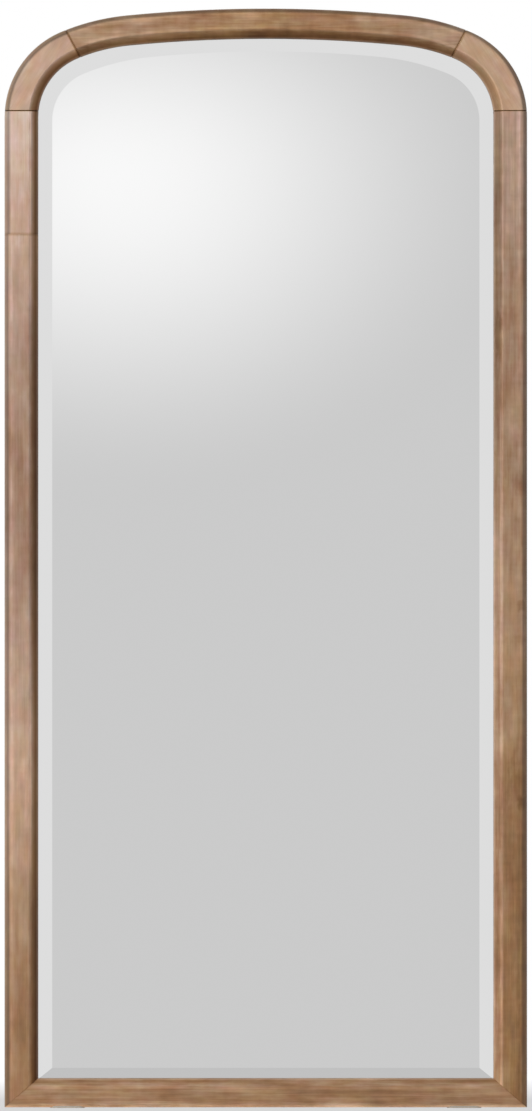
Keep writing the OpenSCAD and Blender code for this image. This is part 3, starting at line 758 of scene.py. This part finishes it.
def speckled(name, dark, pale, size_mm, roughness, bump_mm, stretch=(1, 1, 1), **sockets):
    """A finish of two close tones in spots of that size, with the same spots raised."""
    material, tree, shader = finish_with(name, **sockets)
    place = add(tree, "ShaderNodeTexCoord")
    laid = add(tree, "ShaderNodeMapping", {"Vector": place.outputs["Object"], "Scale": stretch},
               vector_type="TEXTURE")
    spots = add(tree, "ShaderNodeTexNoise", {"Vector": laid, "Scale": 1 / (size_mm * MM), "Detail": 4,
                                             "Roughness": 0.6})
    clouds = add(tree, "ShaderNodeTexNoise", {"Vector": laid, "Scale": 0.08 / (size_mm * MM),
                                              "Detail": 2})
    mixed = add(tree, "ShaderNodeMath", {0: clouds, 1: 0.35, 2: spots}, operation="MULTIPLY_ADD")
    tone = add(tree, "ShaderNodeMapRange", {0: mixed, "From Min": 0.4, "From Max": 0.95})
    colour = add(tree, "ShaderNodeValToRGB", {0: tone}, stops=[(0.0, dark), (1.0, pale)])
    tree.links.new(colour.outputs[0], shader.inputs["Base Color"])
    rough = add(tree, "ShaderNodeMapRange", {0: tone, "To Min": roughness + 0.06,
                                             "To Max": roughness - 0.06})
    tree.links.new(rough.outputs[0], shader.inputs["Roughness"])
    bump = add(tree, "ShaderNodeBump", {"Height": spots, "Strength": 0.5, "Distance": bump_mm * MM})
    tree.links.new(bump.outputs[0], shader.inputs["Normal"])
    return material


# Pressed wood fibres: brown, with short pale fibres and soft clouds
hardboard = speckled("hardboard", "#5d4029", "#8a6546", 2.5, 0.62, 0.15)
# Planed beech for the loose tenons: pale, with short flecks along the grain
beech = speckled("planed_beech", "#b98f68", "#d9b58e", 1.2, 0.6, 0.05, stretch=(1, 1, 6))
# Bright zinc on pressed and drawn steel: pale grey with a soft crystalline cloud
zinc = speckled("zinc_plated_steel", "#a9acad", "#c9cbcb", 4, 0.3, 0.02, Metallic=1.0)
# Drawn wire keeps its lines under the zinc
wire_zinc = speckled("zinc_plated_wire", "#9fa2a4", "#cdcfcf", 1.5, 0.26, 0.02, Metallic=1.0)
# Hardened screws with a yellowish passivated zinc
screw_zinc = speckled("passivated_screw_steel", "#9c9376", "#c9c1a2", 1.5, 0.3, 0.02, Metallic=1.0)
# Moulded rubber: near black, dull, finely pitted
rubber = speckled("moulded_rubber", "#1f1e1d", "#33312f", 0.8, 0.75, 0.05)
# Solid setting blocks, a harder grey rubber
block_rubber = speckled("setting_block_rubber", "#2b2d2e", "#414445", 0.8, 0.7, 0.05)
# Open foam: pale grey cells
foam = speckled("open_cell_foam", "#6f6f6b", "#a7a7a1", 1.2, 0.95, 0.4)
# Needled felt: mixed short fibres, no gloss
felt = speckled("needled_felt", "#989187", "#b8b2a8", 0.9, 0.94, 0.25, Sheen_Weight=0.3,
                Sheen_Roughness=0.5)
# Felt tape: the same short fibres, near black
felt_tape = speckled("felt_tape", "#26231f", "#3b3731", 0.8, 0.94, 0.15, Sheen_Weight=0.3,
                     Sheen_Roughness=0.5)


# ---------- what is shown, and what it rides on ----------

for name, piece in members.items():
    piece.data.materials.clear()
    piece.data.materials.append(stained_alder(name))
    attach(piece, "mirror")
    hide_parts(name)

glass.data.materials.clear()
glass.data.materials.append(silvered_glass())
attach(glass, "mirror")
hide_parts("mirror_glass")

coats = {
    beech: ["left_stile_tenon", "right_stile_tenon", "left_rail_tenon", "right_rail_tenon",
            "left_seam_tenon", "left_mitre_spline", "right_mitre_spline"],
    felt_tape: ["glass_tape"],
    block_rubber: ["setting_blocks"],
    foam: ["spacer_pads"],
    hardboard: ["back_panel"],
    screw_zinc: ["panel_screws", "hanger_screws", "plate_screws"],
    zinc: ["left_hanger", "right_hanger", "left_corner_plate", "right_corner_plate"],
    wire_zinc: ["left_ring", "right_ring"],
    rubber: ["upper_left_bumper", "upper_right_bumper", "lower_left_bumper", "lower_right_bumper"],
    felt: ["left_floor_pad", "right_floor_pad"],
}
for material, names in coats.items():
    for name in names:
        nodes[name].data.materials.clear()
        nodes[name].data.materials.append(material)


# ---------- floor, room, lamp and camera ----------

eye_distance, eye_x, eye_z, view_height = 20.0, 0.0003, 0.9662, 1.9424

# The even grey of the studio in reflections, and of the floor's own light close to the mirror, where that
# dimmer glow is a painted contact shadow
STUDIO_GREY = 0.645


def floor():
    """A pale studio floor. Close to the mirror it glows dimmer, a painted contact shadow over the faint real
    shadow on its dark paint, and further off it turns white.
    """
    bpy.ops.object.select_all(action="DESELECT")
    bpy.ops.mesh.primitive_plane_add(size=1)
    plane = bpy.context.object
    plane.scale = (3.2, 2.3, 1)
    plane.location.z = -0.3 * MM
    bpy.ops.object.transform_apply()
    plane.name = plane.data.name = "floor"
    material = bpy.data.materials.new("studio_floor")
    material.use_nodes = True
    tree = material.node_tree
    tree.nodes.clear()
    spot = add(tree, "ShaderNodeTexCoord").outputs["Object"]
    away = add(tree, "ShaderNodeVectorMath", {0: spot}, operation="ABSOLUTE")
    away = add(tree, "ShaderNodeVectorMath", {0: away, 1: (half_w, 0.03, 0)}, operation="SUBTRACT")
    away = add(tree, "ShaderNodeVectorMath", {0: away, 1: (0, 0, 0)}, operation="MAXIMUM")
    distance = add(tree, "ShaderNodeVectorMath", {0: away}, operation="LENGTH").outputs[1]
    path = add(tree, "ShaderNodeLightPath")
    # Its glow to the camera is dimmer close to the mirror: a painted contact shadow
    glow_with_painted_shadow = add(tree, "ShaderNodeMapRange", {0: distance, "From Min": 0.25, "From Max": 1.1,
                                              "To Min": STUDIO_GREY, "To Max": 1.0})
    seen = add(tree, "ShaderNodeMath", {0: glow_with_painted_shadow, 1: path.outputs["Is Camera Ray"]},
               operation="MULTIPLY")
    # What the mirror shows of the floor is darker close to it: a painted shadow
    reflected_tone_with_painted_shadow = add(tree, "ShaderNodeMapRange", {0: distance, "From Min": 0.35, "From Max": 0.7,
                                                     "To Min": 0.575, "To Max": STUDIO_GREY})
    glossy = add(tree, "ShaderNodeMath", {0: reflected_tone_with_painted_shadow, 1: path.outputs["Is Glossy Ray"],
                                          2: seen}, operation="MULTIPLY_ADD")
    glow = add(tree, "ShaderNodeEmission", {"Color": (1, 1, 1, 1), "Strength": glossy})
    shade = add(tree, "ShaderNodeMix", {0: path.outputs["Is Camera Ray"], 6: linear("#ebe4da"),
                                        7: linear("#3c3c3c")}, data_type="RGBA")
    paint = add(tree, "ShaderNodeBsdfDiffuse", {"Color": shade.outputs[2]})
    hide = add(tree, "ShaderNodeBsdfDiffuse", {"Color": (0, 0, 0, 1)})
    base = add(tree, "ShaderNodeMixShader", {0: path.outputs["Is Glossy Ray"], 1: paint, 2: hide})
    both = add(tree, "ShaderNodeAddShader", {0: base, 1: glow})
    add(tree, "ShaderNodeOutputMaterial", {"Surface": both})
    plane.data.materials.append(material)


def room():
    """White to the camera, a soft even light on the object, and for its reflections a grey studio
    with one soft bright patch high up in front and a bright wall on the left."""
    world = bpy.data.worlds.new("studio")
    bpy.context.scene.world = world
    world.use_nodes = True
    tree = world.node_tree
    tree.nodes.clear()
    way = add(tree, "ShaderNodeTexCoord").outputs["Generated"]
    parts = add(tree, "ShaderNodeSeparateXYZ", {0: way})
    ahead = add(tree, "ShaderNodeMath", {0: parts.outputs["Y"], 1: -1}, operation="MULTIPLY")
    ahead = add(tree, "ShaderNodeMath", {0: ahead, 1: 0.05}, operation="MAXIMUM")
    side = add(tree, "ShaderNodeMath", {0: parts.outputs["X"], 1: ahead}, operation="DIVIDE")
    up = add(tree, "ShaderNodeMath", {0: parts.outputs["Z"], 1: ahead}, operation="DIVIDE")

    # The bright patch, placed and sized by where it shows in the glass from in front, in metres
    patch_light = 0.375
    patch_side, patch_up = -0.263 / eye_distance, 0.665 / eye_distance
    reach_side, reach_up, reach_down = (size / eye_distance for size in (0.74, 0.464, 0.57))
    from_side = add(tree, "ShaderNodeMath", {0: side, 1: patch_side}, operation="SUBTRACT")
    from_side = add(tree, "ShaderNodeMath", {0: from_side, 1: reach_side}, operation="DIVIDE")
    from_up = add(tree, "ShaderNodeMath", {0: up, 1: patch_up}, operation="SUBTRACT")
    above = add(tree, "ShaderNodeMath", {0: from_up, 1: reach_up}, operation="DIVIDE")
    below = add(tree, "ShaderNodeMath", {0: from_up, 1: -reach_down}, operation="DIVIDE")
    from_up = add(tree, "ShaderNodeMath", {0: above, 1: below}, operation="MAXIMUM")
    apart = add(tree, "ShaderNodeCombineXYZ", {0: from_side, 1: from_up})
    apart = add(tree, "ShaderNodeVectorMath", {0: apart}, operation="LENGTH").outputs[1]
    patch = add(tree, "ShaderNodeMapRange", {0: apart, "From Min": 0.0, "From Max": 1.0,
                                             "To Min": patch_light, "To Max": 0.0},
                interpolation_type="SMOOTHSTEP")

    # Further off to the sides and overhead the studio is a little lighter
    off = add(tree, "ShaderNodeCombineXYZ", {0: side, 1: up})
    off = add(tree, "ShaderNodeVectorMath", {0: off}, operation="LENGTH").outputs[1]
    rim = add(tree, "ShaderNodeMapRange", {0: off, "From Min": math.tan(math.radians(6)),
                                           "From Max": math.tan(math.radians(9)),
                                           "To Min": STUDIO_GREY, "To Max": 0.79},
              interpolation_type="SMOOTHSTEP")
    soft = add(tree, "ShaderNodeTexNoise", {"Vector": way, "Scale": 1.3, "Detail": 1})
    soft = add(tree, "ShaderNodeMapRange", {0: soft, "From Min": NOISE_LOW, "From Max": NOISE_HIGH,
                                            "To Min": -0.25, "To Max": 0.25})
    far = add(tree, "ShaderNodeMapRange", {0: off, "From Min": 0.3, "From Max": 1.2})
    soft = add(tree, "ShaderNodeMath", {0: soft, 1: far}, operation="MULTIPLY")
    tone = add(tree, "ShaderNodeMath", {0: rim, 1: patch}, operation="ADD")
    tone = add(tree, "ShaderNodeMath", {0: tone, 1: soft}, operation="ADD")

    # A bright wall on the left, and a slightly darker one on the right
    for edge, extra in ((-1, 0.75), (1, -0.1)):
        wall = add(tree, "ShaderNodeMapRange", {0: parts.outputs["X"], "From Min": 0.45 * edge,
                                                "From Max": 0.75 * edge, "To Max": extra},
                   interpolation_type="SMOOTHSTEP")
        tone = add(tree, "ShaderNodeMath", {0: tone, 1: wall}, operation="ADD")

    # Below, the same grey as the floor's own reflection, so that the floor's edge doesn't show
    ground = add(tree, "ShaderNodeMapRange", {0: parts.outputs["Z"], "From Min": -0.1, "From Max": -0.25},
                 interpolation_type="SMOOTHSTEP")
    tone = add(tree, "ShaderNodeMix", {0: ground, 2: tone, 3: STUDIO_GREY})

    path = add(tree, "ShaderNodeLightPath")
    ambient = add(tree, "ShaderNodeBackground", {"Color": (1, 1, 1, 1), "Strength": 0.2})
    mirrored_room = add(tree, "ShaderNodeBackground", {"Color": (1, 1, 1, 1), "Strength": tone})
    white = add(tree, "ShaderNodeBackground", {"Color": (1, 1, 1, 1), "Strength": 1.0})
    light = add(tree, "ShaderNodeMixShader", {0: path.outputs["Is Glossy Ray"], 1: ambient,
                                              2: mirrored_room})
    light = add(tree, "ShaderNodeMixShader", {0: path.outputs["Is Camera Ray"], 1: light, 2: white})
    add(tree, "ShaderNodeOutputWorld", {"Surface": light})


def soft_box(name, towards, watts):
    """A large soft box, aimed at the middle of the mirror from that direction."""
    centre, distance = Vector((0, 0, 0.95)), 5.5
    towards = towards.normalized()
    data = bpy.data.lights.new(name, "AREA")
    data.shape, data.size, data.size_y = "RECTANGLE", 2.5, 3.0
    data.energy = watts
    light = bpy.data.objects.new(name, data)
    light.location = centre + distance * towards
    light.rotation_euler = (-towards).to_track_quat("-Z", "Y").to_euler()
    light.visible_glossy = False
    bpy.context.collection.objects.link(light)


def camera():
    """Straight on and far off with a long lens, so that both sides of the moulding show alike."""
    data = bpy.data.cameras.new("camera")
    data.sensor_width = 36
    data.lens = data.sensor_width * eye_distance / view_height
    eye = bpy.data.objects.new("camera", data)
    eye.location = (eye_x, front - eye_distance, eye_z)
    eye.rotation_euler = (math.pi / 2, 0, 0)
    bpy.context.collection.objects.link(eye)
    bpy.context.scene.camera = eye


floor()
room()
soft_box("front_light", Vector((-0.5, -1, 0.35)), 280)
soft_box("back_light", Vector((0, 1, 0.45)), 220)
camera()
bpy.context.scene.view_settings.view_transform = "Standard"
